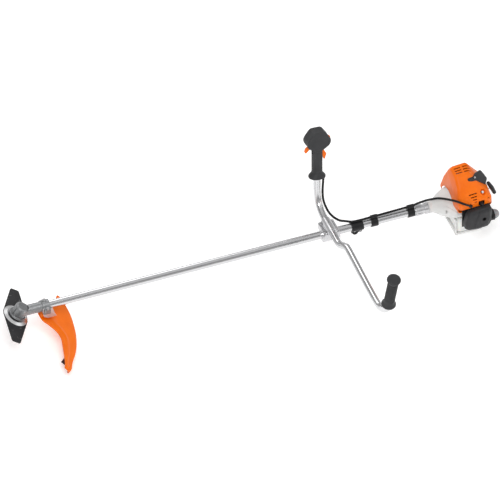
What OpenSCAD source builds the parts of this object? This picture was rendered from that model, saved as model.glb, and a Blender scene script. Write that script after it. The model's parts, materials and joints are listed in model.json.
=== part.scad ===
// Petrol brush cutter with a two-handed handlebar.
// Frame: the origin is on the drive tube's axis under the handlebar.
// +X runs along the tube to the engine, -Y is the operator's left, +Z is up.

/* [Drive tube] */
// Outer diameter of the drive tube
tube_d = 25.4; // [24:0.2:26]
// Wall of the drive tube
tube_wall = 1.5; // [1.2:0.1:2]
// Distance from the handlebar to the gearhead's arbor
arbor_reach = 1022; // [900:1:1100]
// Diameter of the drive shaft inside the tube
shaft_d = 7; // [6:0.5:8]

/* [Gearhead] */
// Tilt of the arbor away from square to the tube
head_tilt = 26.8; // [20:0.1:35]
// Turn of the gearhead about the tube
head_turn = 12.4; // [0:0.1:20]
// Radius of the gear housing
head_r = 21.5; // [21:0.5:24]

/* [Cutting tool] */
// Length of the two-edged grass blade
blade_len = 230; // [200:1:255]
// Widest part of the blade
blade_w = 84; // [70:1:90]
// Width of the blade at its tips
blade_tip_w = 27; // [20:1:40]
// Thickness of the blade
blade_t = 1.8; // [1.4:0.1:3]

/* [Handlebar] */
// Diameter of the handlebar tube
bar_d = 22.2; // [20:0.2:25]
// Wall of the handlebar tube
bar_wall = 1.6; // [1.2:0.1:2]
// Height of the handlebar over the tube's axis
bar_z = 26; // [25:0.5:30]

/* [Engine] */
// Position of the cylinder's axis along the crankshaft
cyl_x = 450; // [446:1:454]
// Diameter of the piston
piston_d = 34; // [32:1:35]
// Stroke of the piston
stroke = 28; // [24:1:28]
// Width of the fuel tank
tank_w = 96; // [80:1:110]

/* [Hidden] */
$fn = 64;
eps = 0.01;
fit = 0.05;
tube_r = tube_d / 2;
shaft_r = shaft_d / 2;
bar_r = bar_d / 2;

// Bevel gears: both pitch cones meet where the arbor crosses the tube's axis.
gear_teeth = 21;
pinion_teeth = 15;
shaft_angle = 90 - head_tilt;
pinion_cone = atan2(sin(shaft_angle), gear_teeth / pinion_teeth + cos(shaft_angle));
gear_cone = shaft_angle - pinion_cone;
cone_len = 22;
face_len = 8;
tooth_module = 2 * cone_len * sin(gear_cone) / gear_teeth;
taper = (cone_len - face_len) / cone_len;

// Stations of the head along the arbor, counted upwards from the crossing point.
arbor_r = 5;
plate_r = 40.5;
blade_top = -16;
housing_low = -9;
housing_top = 24;
blade_yaw = 68.4;
nut_low = -37;

// Stations along the tube's axis.
tube_front = -985;
tube_back = 330;
collar_back = -922;
drum_front = 362;
case_front = 424;
case_back = 478;
rod_len = 52;
piston_half = 13;
crank_r = stroke / 2;
tank_y0 = 62 - tank_w;
tank_y1 = 62;
tank_low = -108;
foot_low = -115;

// Centre line of the handlebar, from the control handle to the left grip.
BAR = [[3, 124, 184], [-1, 114, 134], [-4, 105, 90], [-6, 88, 52], [-6, 60, 33], [-5, 38, bar_z + 0.4],
       [-5, 30, bar_z], [-5, 0, bar_z], [-5, -40, bar_z], [-5, -78, bar_z], [-2, -98, 31], [3, -118, 41],
       [6, -140, 44], [6, -250, 39], [7, -370, 33], [8, -420, 42], [10, -452, 66],
       [12, -468, 98], [20, -491, 208]];

// Route of the throttle cable, from the control handle to the carburettor's cover.
CABLE = [[22, 118, 124], [18, 113, 96], [16, 110, 64], [16, 98, 36], [20, 62, 21], [35, 30, 16],
         [56, 12, 18], [79, 0, 20.5], [140, 0, 20.5], [200, 0, 22], [264, 0, 24], [285, 0, 28],
         [310, -2, 33], [329, -7, 37], [346, -20, 46], [363, -45, 58], [381, -77, 71],
         [397, -102, 76], [412, -103, 66], [423, -99, 55]];
cable_r = 3.6;

// Control handle and left grip: foot of each handle and the turn of its axis.
handle_foot = [-1, 114, 134];
handle_turn = [-11.3, 4.3, 0];
grip_foot = [12, -468, 98];
grip_turn = [11.5, 4, 0];

// ---------- shared shapes ----------
module along_x(x0, x1, r) { translate([x0, 0, 0]) rotate([0, 90, 0]) cylinder(r = r, h = x1 - x0); }
module cone_x(x0, x1, r0, r1) {
    translate([x0, 0, 0]) rotate([0, 90, 0]) cylinder(r1 = r0, r2 = r1, h = x1 - x0);
}
module along_y(y0, y1, r) { translate([0, y1, 0]) rotate([90, 0, 0]) cylinder(r = r, h = y1 - y0); }
module ring_x(x0, x1, r_out, r_in) {
    difference() {
        along_x(x0, x1, r_out);
        along_x(x0 - 1, x1 + 1, r_in);
    }
}
module ring_z(z0, z1, r_out, r_in) {
    difference() {
        translate([0, 0, z0]) cylinder(r = r_out, h = z1 - z0);
        translate([0, 0, z0 - 1]) cylinder(r = r_in, h = z1 - z0 + 2);
    }
}
module rod_z(z0, z1, r) { translate([0, 0, z0]) cylinder(r = r, h = z1 - z0); }
module block(a, b) { translate(a) cube(b - a); }
module head_frame() {
    translate([-arbor_reach, 0, 0]) rotate([head_turn, 0, 0]) rotate([0, head_tilt, 0]) children();
}
module neck_frame() { translate([-arbor_reach, 0, 0]) rotate([head_turn, 0, 0]) children(); }
module handle_frame() { translate(handle_foot) rotate(handle_turn) children(); }
module soft_block(a, b, r) {
    hull() for (x = [a.x + r, b.x - r], y = [a.y + r, b.y - r], z = [a.z + r, b.z - r])
        translate([x, y, z]) sphere(r = r, $fn = 24);
}
module screw(r_head, h_head, r_shank, h_shank) {
    difference() {
        cylinder(r = r_head, h = h_head);
        translate([0, 0, h_head / 2]) cylinder(r = r_head * 0.5, h = h_head, $fn = 6);
    }
    translate([0, 0, -h_shank]) cylinder(r = r_shank, h = h_shank);
}

// A smooth tube swept along a list of points; r_in of 0 makes it solid.
function unit(v) = v / norm(v);
function spline_at(p, i, t) =
    let (a = p[max(i - 1, 0)], b = p[i], c = p[i + 1], d = p[min(i + 2, len(p) - 1)])
    0.5 * (2 * b + (c - a) * t + (2 * a - 5 * b + 4 * c - d) * t * t
           + (3 * b - a - 3 * c + d) * t * t * t);
function smooth(p, steps) = concat(
    [for (i = [0 : len(p) - 2]) for (k = [0 : steps - 1]) spline_at(p, i, k / steps)],
    [p[len(p) - 1]]);
function run_of(p, i) = unit(p[min(i + 1, len(p) - 1)] - p[max(i - 1, 0)]);
function side_of(p, i) =
    i == 0 ? unit(cross(run_of(p, 0), [1, 0.2, 0.1]))
           : let (s = side_of(p, i - 1), t = run_of(p, i)) unit(s - t * (s * t));
function hoop(c, t, s, r, n) =
    let (b = cross(t, s)) [for (k = [0 : n - 1]) c + r * (cos(360 * k / n) * s + sin(360 * k / n) * b)];
function walls(rings, n, base, flip) = [for (i = [0 : rings - 2]) for (k = [0 : n - 1])
    let (a = base + i * n + k, b = base + i * n + (k + 1) % n)
    flip ? [a, b, b + n, a + n] : [a, a + n, b + n, b]];
module swept(path, r, n) {
    m = len(path);
    pts = [for (i = [0 : m - 1]) each hoop(path[i], run_of(path, i), side_of(path, i), r, n)];
    ends = [[for (k = [0 : n - 1]) k], [for (k = [n - 1 : -1 : 0]) (m - 1) * n + k]];
    polyhedron(points = pts, faces = concat(walls(m, n, 0, false), ends), convexity = 10);
}
module swept_tube(path, r, r_in, n) {
    m = len(path);
    pts = concat(
        [for (i = [0 : m - 1]) each hoop(path[i], run_of(path, i), side_of(path, i), r, n)],
        [for (i = [0 : m - 1]) each hoop(path[i], run_of(path, i), side_of(path, i), r_in, n)]);
    q = m * n;
    last = (m - 1) * n;
    rims = [for (k = [0 : n - 1]) each
        [[k, (k + 1) % n, q + (k + 1) % n, q + k],
         [last + (k + 1) % n, last + k, q + last + k, q + last + (k + 1) % n]]];
    polyhedron(points = pts,
        faces = concat(walls(m, n, 0, false), walls(m, n, q, true), rims), convexity = 10);
}

// A toothed outline with straight-flanked teeth.
function teeth(count, r_root, r_tip, turn) = [for (i = [0 : count - 1])
    each let (a = turn + 360 * i / count, p = 360 / count)
    [for (q = [[-0.34, r_root], [-0.12, r_tip], [0.12, r_tip], [0.34, r_root]])
        q[1] * [cos(a + q[0] * p), sin(a + q[0] * p)]]];
module bevel(count, cone, turn, bore) {
    pitch_r = cone_len * sin(cone);
    back = cone_len * cos(cone);
    difference() {
        union() {
            translate([0, 0, back]) mirror([0, 0, 1])
                linear_extrude(height = face_len * cos(cone), scale = taper)
                    polygon(teeth(count, pitch_r - 1.25 * tooth_module * cos(cone),
                                  pitch_r + tooth_module * cos(cone), turn));
            rod_z(back - eps, back + 2.2, pitch_r * 0.72);
        }
        translate([0, 0, back - face_len - 2]) cylinder(r = bore, h = face_len + 8);
    }
}

// ---------- gearhead ----------
module gearbox_housing() {
    color("silver") difference() {
        union() {
            head_frame() rod_z(housing_low, housing_top, head_r);
            head_frame() rod_z(housing_low, housing_low + 3.5, 26);
            neck_frame() along_x(0, 78, 16);
            neck_frame() along_x(76, arbor_reach + collar_back, 19);
            neck_frame() block([78, -27, -10], [98, -16, 10]);
            neck_frame() translate([85, 5, 12]) cylinder(r = 5.5, h = 10);
            head_frame() rotate([0, 0, -62]) translate([14, 0, 2]) rotate([0, 90, 0]) cylinder(r = 5.5, h = 10.5);
        }
        head_frame() rod_z(-2, housing_top + 1, 17.5);
        head_frame() rod_z(housing_top, housing_top + 9, head_r + 1);
        head_frame() rod_z(housing_low - 20, housing_low, head_r + 20);
        head_frame() rod_z(-7.5, 0, 13 + fit);
        head_frame() rod_z(housing_low - 1, 0, 8);
        neck_frame() along_x(8, 38, 12 + fit);
        neck_frame() along_x(arbor_reach + tube_front, arbor_reach + collar_back + 1, tube_r + fit);
        neck_frame() block([77, -28, -0.8], [101, -12, 0.8]);
        neck_frame() translate([88, -21.5, -11]) cylinder(r = 2.6, h = 22);
        neck_frame() translate([85, 5, 11]) cylinder(r = 2.6, h = 12);
        head_frame() rotate([0, 0, -62]) translate([16, 0, 2]) rotate([0, 90, 0]) cylinder(r = 3.05, h = 10);
    }
}
module gearbox_cap() {
    color("silver") head_frame() difference() {
        union() {
            rod_z(housing_top, housing_top + 2.5, head_r);
            translate([0, 0, housing_top + 2.5 - eps]) cylinder(r1 = head_r - 1.5, r2 = head_r - 6, h = 3);
            rod_z(housing_top - 3, housing_top + eps, 17.4);
        }
        rod_z(housing_top - 4, housing_top + 0.5, 8 + fit);
        for (a = [30, 150, 270]) rotate([0, 0, a]) translate([19.4, 0, housing_top - 1]) {
            cylinder(r = 1.55, h = 9);
            translate([0, 0, 3.5]) cylinder(r = 3, h = 9);
        }
    }
}
module gearbox_screws() {
    color("dimgray") {
        head_frame() for (a = [30, 150, 270]) rotate([0, 0, a]) translate([19.4, 0, housing_top + 2.5])
            screw(2.6, 1.8, 1.5, 2.4);
        neck_frame() translate([88, -21.5, 10]) screw(4.6, 4.5, 2.5, 20);
        neck_frame() translate([85, 5, 22]) screw(4.6, 4, 2.5, 8);
    }
}
module grease_plug() {
    color("dimgray") head_frame() rotate([0, 0, -62]) translate([24.5, 0, 2]) rotate([0, 90, 0])
        screw(4.4, 3, 3, 4);
}
module gearbox_bearings() {
    color("lightsteelblue") {
        head_frame() ring_z(-7.4, -2, 13, arbor_r);
        head_frame() ring_z(housing_top - 3, housing_top, 8, arbor_r);
        neck_frame() ring_x(27, 36, 12, shaft_r);
    }
}
module bevel_pinion() {
    color("gray") neck_frame() rotate([0, 90, 0])
        bevel(pinion_teeth, pinion_cone, 180, shaft_r);
}
module bevel_gear() {
    color("gray") head_frame() bevel(gear_teeth, gear_cone, 180 / gear_teeth, arbor_r);
}
module output_shaft() {
    color("lightgray") head_frame() rod_z(nut_low - 1, housing_top, arbor_r - fit);
}
module thrust_plate() {
    color("lightgray") head_frame() difference() {
        union() {
            translate([0, 0, blade_top]) cylinder(r1 = plate_r, r2 = 31, h = 4);
            rod_z(blade_top + 4 - eps, housing_low - 1, 12);
        }
        rod_z(blade_top - 1, housing_low, arbor_r);
    }
}

// ---------- cutting tool ----------
module grass_blade() {
    w = blade_w / 2;
    t = blade_tip_w / 2;
    l = blade_len / 2;
    half = [[w, -7], [w, 7], [t + 2, l - 3], [t - 2, l], [2 - t, l], [-t - 2, l - 6], [-w, 7]];
    color("black") head_frame() rotate([0, 0, blade_yaw - 90]) difference() {
        translate([0, 0, blade_top - blade_t - fit]) linear_extrude(height = blade_t)
            polygon(concat(half, [for (p = [half[1], half[2], half[3], half[4], half[5]]) -p]));
        rod_z(blade_top - 9, blade_top + 1, arbor_r + fit);
    }
}
module rider_plate() {
    low = blade_top - blade_t - 2 * fit;
    color("lightgray") head_frame() difference() {
        union() {
            translate([0, 0, low - 2.5]) cylinder(r = 31, h = 2.5);
            translate([0, 0, low - 9]) cylinder(r1 = 17, r2 = 33, h = 6.5);
        }
        rod_z(low - 10, low + 1, arbor_r);
    }
}
module blade_nut() {
    top = blade_top - blade_t - 9.2;
    color("dimgray") head_frame() difference() {
        union() {
            rod_z(top - 2, top, 11);
            translate([0, 0, nut_low]) cylinder(r = 9.8, h = top - 2 - nut_low + eps, $fn = 6);
        }
        rod_z(nut_low - 1, top + 1, arbor_r);
    }
}

// ---------- deflector ----------
// Plan of the guard, seen down the arbor: an inner and an outer edge.
GUARD_OUT = [[182, 78], [190, 71], [198, 44], [202, 8], [200, -23], [193, -61], [181, -99],
             [158, -146], [128, -188], [116, -206], [108, -218], [101, -224], [93, -222]];
GUARD_IN = [[88, -216], [91, -206], [98, -188], [105, -163], [117, -120], [123, -92], [117, -66],
            [98, -42], [80, -24], [78, 8], [110, 34], [164, 58]];
guard_top = 4;
guard_wall = 31;
module guard_plan() { offset(r = 4) offset(delta = -4) polygon(concat(GUARD_OUT, GUARD_IN)); }
module deflector() {
    color("darkorange") head_frame() difference() {
        union() {
            translate([0, 0, guard_top - 3]) linear_extrude(height = 3) guard_plan();
            intersection() {
                translate([0, 0, guard_top - guard_wall]) linear_extrude(height = guard_wall - 2.9)
                    difference() {
                        guard_plan();
                        offset(delta = -3) guard_plan();
                    }
                translate([0, 0, guard_top - guard_wall - 1]) linear_extrude(height = guard_wall + 2)
                    polygon([[120, 100], [170, 60], [176, 0], [168, -70], [130, -150], [110, -196],
                             [102, -207], [60, -207], [60, -260], [260, -260], [260, 100]]);
            }
            block([78, -17, guard_top - eps], [120, 17, guard_top + 12]);
        }
        for (y = [-10, 10]) translate([92, y, guard_top - 5]) cylinder(r = 2.6, h = 30);
    }
}
module deflector_bracket() {
    foot = guard_top + 12.1;
    cheek = [[74, 6], [92, 11], [104, 0], [118, -32], [82, -34], [76, -24]];
    color("dimgray") difference() {
        union() {
            head_frame() block([80, -18, foot], [108, 18, foot + 2.5]);
            intersection() {
                union() {
                    for (y = [-21.6, 19.2]) translate([0, y + 2.4, 0]) translate([-arbor_reach, 0, 0])
                        rotate([90, 0, 0]) linear_extrude(height = 2.4) polygon(cheek);
                    translate([-arbor_reach, 0, 0]) block([80, -21.6, -23], [113, 21.6, -20.2]);
                }
                head_frame() block([0, -40, foot + 0.5], [200, 40, 200]);
            }
        }
        head_frame() for (y = [-10, 10]) translate([92, y, foot - 1]) {
            cylinder(r = 2.6, h = 40);
            translate([0, 0, 3.5]) cylinder(r = 5, h = 40);
        }
        neck_frame() along_x(60, 100.5, 19.2);
        neck_frame() block([77, -30, -12], [99, -15.5, 16]);
    }
}
module deflector_screws() {
    color("black") head_frame() for (y = [-10, 10]) translate([92, y, guard_top + 14.6])
        screw(4.4, 3, 2.5, 13);
}
module line_knife() {
    color("black") head_frame() translate([0, 0, guard_top - 15]) {
        linear_extrude(height = 2) polygon([[112, -163], [92, -181], [106, -199], [125, -184]]);
        translate([106, -199, 0]) rotate([0, 0, 38.5]) block([4, -0.2, -6], [24, 1.8, 6]);
    }
}

// ---------- drive tube ----------
module drive_tube() { color("gainsboro") ring_x(tube_front, tube_back, tube_r, tube_r - tube_wall); }
module drive_shaft() {
    color("lightgray") along_x(12.8 - arbor_reach, drum_front + 1, shaft_r - fit);
}
module shaft_bushes() {
    color("ivory") for (x = [-880, -600, -320, -40, 240])
        ring_x(x, x + 22, tube_r - tube_wall, shaft_r);
}

// ---------- handlebar ----------
clamp_x = 17;
clamp_y = 22.3;
module clamp_posts(r, z0, z1) {
    for (x = [-clamp_x, clamp_x], y = [-clamp_y, clamp_y]) translate([x - 5, y, z0]) cylinder(r = r, h = z1 - z0);
}
module bar_bore() { translate([-5, 0, bar_z]) along_y(-40, 40, bar_r + fit); }
module handlebar_clamp_base() {
    color("silver") difference() {
        union() {
            block([-30, -31, 2], [20, 31, 18]);
            intersection() {
                along_x(-29, 19, 24);
                block([-30, -31, -24], [20, 31, 3]);
            }
        }
        along_x(-40, 40, tube_r + fit);
        bar_bore();
        clamp_posts(2.6, 3, 30);
        for (y = [-31, 31]) translate([-5, y, -6]) cube([60, 8, 10], center = true);
    }
}
module handlebar_clamp_cap() {
    color("silver") difference() {
        union() {
            block([-30, -31, 18.4], [20, 31, 23]);
            intersection() {
                translate([-5, 0, bar_z]) along_y(-30, 30, bar_r + 4);
                block([-30, -31, 20], [20, 31, 50]);
            }
            for (y = [-24 : 6 : 24]) block([-28, y - 1, 22], [18, y + 1, 25]);
        }
        bar_bore();
        clamp_posts(2.6, 10, 40);
        for (x = [-clamp_x - 5, clamp_x - 5], y = [-clamp_y, clamp_y]) translate([x, y, 23]) cylinder(r = 5.4, h = 9);
    }
}
module handlebar_screws() {
    color("gray") for (x = [-clamp_x, clamp_x], y = [-clamp_y, clamp_y]) translate([x - 5, y, 23])
        screw(4.6, 4.6, 2.5, 18);
}
module handlebar() {
    color("gainsboro") swept_tube(smooth(BAR, 4), bar_r, bar_r - bar_wall, 16);
}
module left_grip() {
    color("dimgray") translate(grip_foot) rotate(grip_turn) difference() {
        union() {
            rod_z(0, 122, 16.5);
            translate([0, 0, 4]) cylinder(r1 = 23, r2 = 17, h = 10);
            rod_z(0, 4 + eps, 23);
            translate([0, 0, 112]) cylinder(r1 = 17, r2 = 22, h = 8);
            rod_z(120 - eps, 126, 22);
            for (z = [24 : 8 : 104]) rod_z(z, z + 3, 17.3);
        }
        rod_z(-1, 116, bar_r + 1.2);
    }
}

// ---------- control handle ----------
module control_handle() {
    color("dimgray") handle_frame() difference() {
        union() {
            hull() {
                translate([5, 0, 0]) cylinder(r = 22, h = 6, $fn = 32);
                translate([-5, 0, 0]) cylinder(r = 22, h = 6, $fn = 32);
                rod_z(0, 18, 17);
            }
            rod_z(6, 120, 17);
            hull() {
                translate([0, -18, 112]) rotate([-90, 0, 0]) cylinder(r = 17, h = 36, $fn = 32);
                translate([-16, -20, 128]) rotate([-90, 0, 0]) cylinder(r = 22, h = 40, $fn = 32);
                translate([17, -20, 131]) rotate([-90, 0, 0]) cylinder(r = 22, h = 40, $fn = 32);
                for (x = [-9, 12]) translate([x, -19, 150]) rotate([-90, 0, 0])
                    cylinder(r = 15, h = 38, $fn = 32);
            }
        }
        rod_z(-1, 56, bar_r + 1.2);
        block([5, -5.5, 58], [44, 5.5, 106]);
        block([-44, -5.5, 84], [-8, 5.5, 128]);
        block([32, -7, 112], [44, 7, 146]);
        translate([22, 0, 8]) cylinder(r = 3.4, h = 20, center = true);
        translate([12.5, 0, 101]) along_y(-12, 12, 2.55);
        translate([-13.5, 0, 121]) along_y(-12, 12, 2.55);
    }
}
module throttle_trigger() {
    color("darkorange") handle_frame() {
        difference() {
            union() {
                translate([12.5, 0, 101]) along_y(-5, 5, 4.2);
                hull() {
                    translate([14, 0, 99]) along_y(-5, 5, 3.5, $fn = 24);
                    translate([25, 0, 78]) along_y(-5, 5, 4, $fn = 24);
                    translate([22, 0, 64]) along_y(-5, 5, 2.5, $fn = 24);
                }
            }
            translate([12.5, 0, 101]) along_y(-6, 6, 2.5);
        }
    }
}
module throttle_lockout() {
    color("darkorange") handle_frame() {
        difference() {
            union() {
                translate([-13.5, 0, 121]) along_y(-5, 5, 4.2);
                hull() {
                    translate([-15, 0, 119]) along_y(-5, 5, 3.4, $fn = 24);
                    translate([-35, 0, 103]) along_y(-5, 5, 3, $fn = 24);
                    translate([-38, 0, 95]) along_y(-5, 5, 2.5, $fn = 24);
                }
            }
            translate([-13.5, 0, 121]) along_y(-6, 6, 2.5);
        }
    }
}
module stop_slider() {
    color("darkorange") handle_frame() {
        block([32.5, -6.5, 120], [40.5, 6.5, 137]);
        for (z = [122 : 4 : 134]) block([40, -6, z], [42, 6, z + 2]);
    }
}
module throttle_cable() { color("black") swept(smooth(CABLE, 3), cable_r, 10); }

// ---------- fittings on the tube ----------
module harness_eyelet() {
    color("black") difference() {
        union() {
            along_x(66, 104, 16.2);
            block([68, -4, -24], [102, 4, -12]);
            translate([80, 0, -22]) along_y(-4, 4, 9.5);
        }
        along_x(60, 110, tube_r + fit);
        translate([80, 0, -22.5]) along_y(-6, 6, 5.5);
        translate([96, 0, -20.6]) along_y(-6, 6, 2.2);
    }
}
module eyelet_screw() {
    color("silver") translate([96, -4.05, -20.6]) rotate([90, 0, 0]) screw(3.6, 3, 2.1, 8.5);
}
module cable_clip(x0, z) {
    difference() {
        union() {
            along_x(x0, x0 + 22, 15.6);
            translate([0, 0, z]) along_x(x0, x0 + 22, cable_r + 2.4);
            block([x0, -4, 12], [x0 + 22, 4, z]);
        }
        along_x(x0 - 1, x0 + 23, tube_r + fit);
        translate([0, 0, z]) along_x(x0 - 1, x0 + 23, cable_r + 0.7);
    }
}
module cable_clips() {
    color("black") {
        cable_clip(130, 20.6);
        cable_clip(250, 23.6);
    }
}
module vibration_collar() {
    color("silver") difference() {
        union() {
            along_x(276, 299, 16.5);
            along_x(299 - eps, 306, 15);
            along_x(306 - eps, 317, 18);
        }
        along_x(270, 330, tube_r + fit);
        for (a = [0 : 30 : 330]) rotate([a, 0, 0]) block([279, 14.6, -1.5], [296, 20, 1.5]);
        ring_x(310, 313, 20, 17);
    }
}

// ---------- clutch and engine ----------
module clutch_housing() {
    color("gainsboro") difference() {
        rotate([90, 0, 90]) rotate_extrude()
            polygon([[0, 318], [18, 318], [18, 330], [27, 344], [36, 356], [46, 376], [52, 394],
                     [52, 422], [0, 422]]);
        along_x(310, 346, tube_r + fit);
        along_x(340, 353, 11 + fit);
        along_x(352, 358, 20);
        along_x(357, 394, 31);
        along_x(393, 423, 48);
        along_x(300, 400, 8);
    }
}
module clutch_bearing() { color("lightsteelblue") ring_x(341, 351.5, 11, 7 + fit); }
module clutch_drum() {
    color("gray") {
        ring_x(drum_front, 388, 28, 26);
        ring_x(drum_front, 365, 26.5, shaft_r);
        ring_x(346.5, drum_front + eps, 7, shaft_r);
    }
}
module clutch_shoes() {
    color("dimgray") {
        difference() {
            along_x(370, 386, 25.4);
            along_x(369, 387, 14);
            for (a = [0, 90]) rotate([a, 0, 0]) block([368, -30, -2], [388, 30, 2]);
        }
        difference() {
            union() {
                along_x(370, 386, 10);
                for (a = [0, 90]) rotate([a, 0, 0]) block([372, -15, -1.9], [384, 15, 1.9]);
            }
            along_x(369, 387, 5);
        }
    }
}
module flywheel() {
    color("lightgray") difference() {
        union() {
            along_x(405, 414, 44);
            for (i = [0 : 15]) rotate([22.5 * i, 0, 0]) block([397, 18, -1.2], [405.1, 43, 1.2]);
            along_x(397, 405.1, 14);
        }
        along_x(390, 420, 5);
    }
}
module crankcase() {
    color("silver") difference() {
        union() {
            along_x(case_front, case_back, 36);
            along_x(422.2, 426, 52);
            block([cyl_x - 24, -24, 10], [cyl_x + 24, 24, 44]);
            translate([cyl_x, 0, 34]) along_y(-40, -20, 9);
        }
        along_x(cyl_x - 17, cyl_x + 17, 30);
        along_x(400, 500, 5);
        translate([cyl_x, 0, 34]) along_y(-45, -15, 6);
        translate([cyl_x, 0, 20]) cylinder(r = piston_d / 2 + 1, h = 30);
    }
}
module crankshaft() {
    color("lightgray") {
        along_x(368.5, cyl_x - 15.5, 5 - fit);
        along_x(cyl_x + 15.5, 498, 5 - fit);
        along_x(cyl_x + 15, cyl_x + 15.6, 12);
        along_x(cyl_x - 15.6, cyl_x - 15, 12);
        for (x = [cyl_x - 15, cyl_x + 6.5]) difference() {
            along_x(x, x + 8.5, 22);
            block([x - 1, -30, 7], [x + 10, 30, 30]);
        }
        for (x = [cyl_x - 15, cyl_x + 6.5]) block([x, -8, 6.9], [x + 8.5, 8, 21.5]);
    }
}
module connecting_rod() {
    color("gray") translate([cyl_x, 0, 0]) {
        difference() {
            union() {
                translate([0, 0, crank_r]) along_x(-4, 4, 9.5);
                translate([0, 0, crank_r + rod_len]) along_x(-4, 4, 7);
                block([-3, -3.5, crank_r + 8], [3, 3.5, crank_r + rod_len - 5]);
            }
            translate([0, 0, crank_r + rod_len]) along_x(-5, 5, 4);
        }
        translate([0, 0, crank_r]) along_x(-6, 6, 5);
    }
}
module piston() {
    pin_z = crank_r + rod_len;
    color("lightgray") translate([cyl_x, 0, 0]) {
        difference() {
            rod_z(pin_z - piston_half, pin_z + piston_half, piston_d / 2 - 0.08);
            rod_z(pin_z - piston_half - 1, pin_z + piston_half - 4, piston_d / 2 - 3);
            for (z = [pin_z + 5, pin_z + 9]) ring_z(z, z + 1.5, piston_d, piston_d / 2 - 1);
        }
        translate([0, 0, pin_z]) along_x(-14.5, 14.5, 4 - fit);
    }
}
module cylinder_block() {
    rod_z(44.1, 90, 20.5);
    for (z = [57 : 7 : 85]) block([-28, -26, z], [17, z > 70 ? 12 : 26, z + 2.2]);
    block([-12, 20, 44.1], [12, 36, 65]);
}
module cylinder_part() {
    color("silver") translate([cyl_x, 0, 0]) difference() {
        cylinder_block();
        rod_z(43, 82, piston_d / 2);
        rod_z(80, 96, 5 + fit);
        translate([1, 0, 50]) along_y(15, 40, 5.5);
    }
}
module spark_plug() {
    color("white") translate([cyl_x, 0, 0]) {
        rod_z(82.5, 90.1, 5);
        translate([0, 0, 90.1]) cylinder(r = 7.5, h = 3, $fn = 6);
        rod_z(93, 97, 4);
        rod_z(96.9, 99, 2.5);
    }
}
module plug_cover() {
    color("black") difference() {
        hull() {
            translate([434, -51, 121]) sphere(r = 5, $fn = 24);
            translate([465, -26, 112]) sphere(r = 5, $fn = 24);
            translate([470, -47, 101]) sphere(r = 5, $fn = 24);
            translate([483, -14, 104]) sphere(r = 7, $fn = 24);
            translate([494, -27, 86]) sphere(r = 7, $fn = 24);
            translate([486, -44, 85]) sphere(r = 5, $fn = 24);
        }
        hull() for (p = SHROUD) translate(p) sphere(r = 12.2, $fn = 24);
    }
}
SHROUD = [[392, 54, 22], [396, 37, 68], [400, 11, 113], [403, 0, 128], [404, -30, 122],
          [402, -58, 102], [400, -76, 74], [398, -82, 58], [438, 0, 131], [436, -34, 122],
          [452, 0, 108], [474, 8, 82], [484, -40, 69], [486, -76, 33], [484, -78, 58],
          [494, -40, 12], [494, 36, 12], [480, 44, 30], [398, -80, 30], [394, 54, 16]];
module engine_shroud() {
    color("darkorange") difference() {
        hull() for (p = SHROUD) translate(p) sphere(r = 12, $fn = 24);
        hull() for (p = SHROUD) translate(p) sphere(r = 9.5, $fn = 24);
        block([380, -120, -20], [540, 90, 12]);
        block([380, -120, -20], [540, -77.4, 41]);
        along_x(380, 560, 53);
        for (x = [400, 427], y = [-28 : 9 : -10]) block([x, y, 112], [x + 21, y + 4, 160]);
        for (k = [0 : 3]) block([422 + 5 * k, -110, 82 - 8 * k], [448 - k, -70, 86 - 8 * k]);
        block([411, 36, 10], [520, 90, 70]);
        block([450, -110, 40], [470, -80, 60]);
        translate([0, -45, 59]) along_x(470, 520, 4);
    }
}
module muffler() {
    color("dimgray") difference() {
        union() {
            block([428, 41, -14], [474, 71, 64]);
            translate([451, 0, 50]) along_y(36.2, 43, 8);
            translate([472, 57, 30]) rotate([0, 90, 0]) cylinder(r = 6, h = 10);
        }
        block([432, 45, -10], [470, 67, 62]);
        translate([451, 0, 50]) along_y(30, 50, 5.5);
        translate([465, 57, 30]) rotate([0, 90, 0]) cylinder(r = 4, h = 20);
    }
}
module carburettor() {
    color("silver") difference() {
        union() {
            block([434, -70, 22], [466, -40.2, 46]);
            translate([450, 0, 34]) along_y(-77.5, -69, 9);
            translate([445, -57, 45]) cylinder(r = 5, h = 4);
        }
        translate([450, 0, 34]) along_y(-90, -38, 6);
    }
}
// The choke lever turns on an upright pin of the filter base, above the filter cover.
choke_pin = [459, -88, 43];
bulb_seat = [502.5, -80, -18];
bulb_r = 15;
module choke_lever() {
    color("black") translate(choke_pin) difference() {
        union() {
            rod_z(1, 14, 5);
            block([-3.5, -16, 10.5], [3.5, 0, 14]);
        }
        rod_z(0, 15, 2.1);
    }
}
module primer_bulb() {
    color("gray") translate(bulb_seat) rotate([0, 90, 0]) {
        cylinder(r = bulb_r, h = 6);
        translate([0, 0, 6 - eps]) rotate_extrude()
            polygon(concat([[0, 0]], [for (a = [0 : 10 : 90]) [14 * cos(a), 12 * sin(a)]]));
    }
}
module filter_base() {
    color("dimgray") difference() {
        union() {
            block([400, -81, -38], [484, -77.7, 42]);
            block([482, -81, -33], [494.5, -65, -3]);
            translate([bulb_seat.x - 9.3, bulb_seat.y, bulb_seat.z]) rotate([0, 90, 0])
                cylinder(r = bulb_r + 3, h = 9);
            block([454, -92.5, 38.8], [464, -78, 43.6]);
            translate(choke_pin) rod_z(0, 12, 2);
        }
        translate([bulb_seat.x - 4.8, bulb_seat.y, bulb_seat.z]) rotate([0, 90, 0])
            cylinder(r = bulb_r + 0.4, h = 9);
        translate([450, 0, 34]) along_y(-90, -70, 6);
    }
}
module air_filter() { color("ivory") block([421, -96, -24], [474, -81.1, 21]); }
COVER = [[420, 33], [457, 38], [486, 36], [490, 28], [491, 11], [488, -21], [484, -30], [475, -39],
         [441, -42], [413, -38], [401, -29], [402, -13], [410, 18]];
module cover_slab(inset, y0, y1) {
    translate([0, y1, 0]) rotate([90, 0, 0]) linear_extrude(height = y1 - y0)
        offset(r = 5) offset(delta = -5 - inset) polygon(COVER);
}
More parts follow.
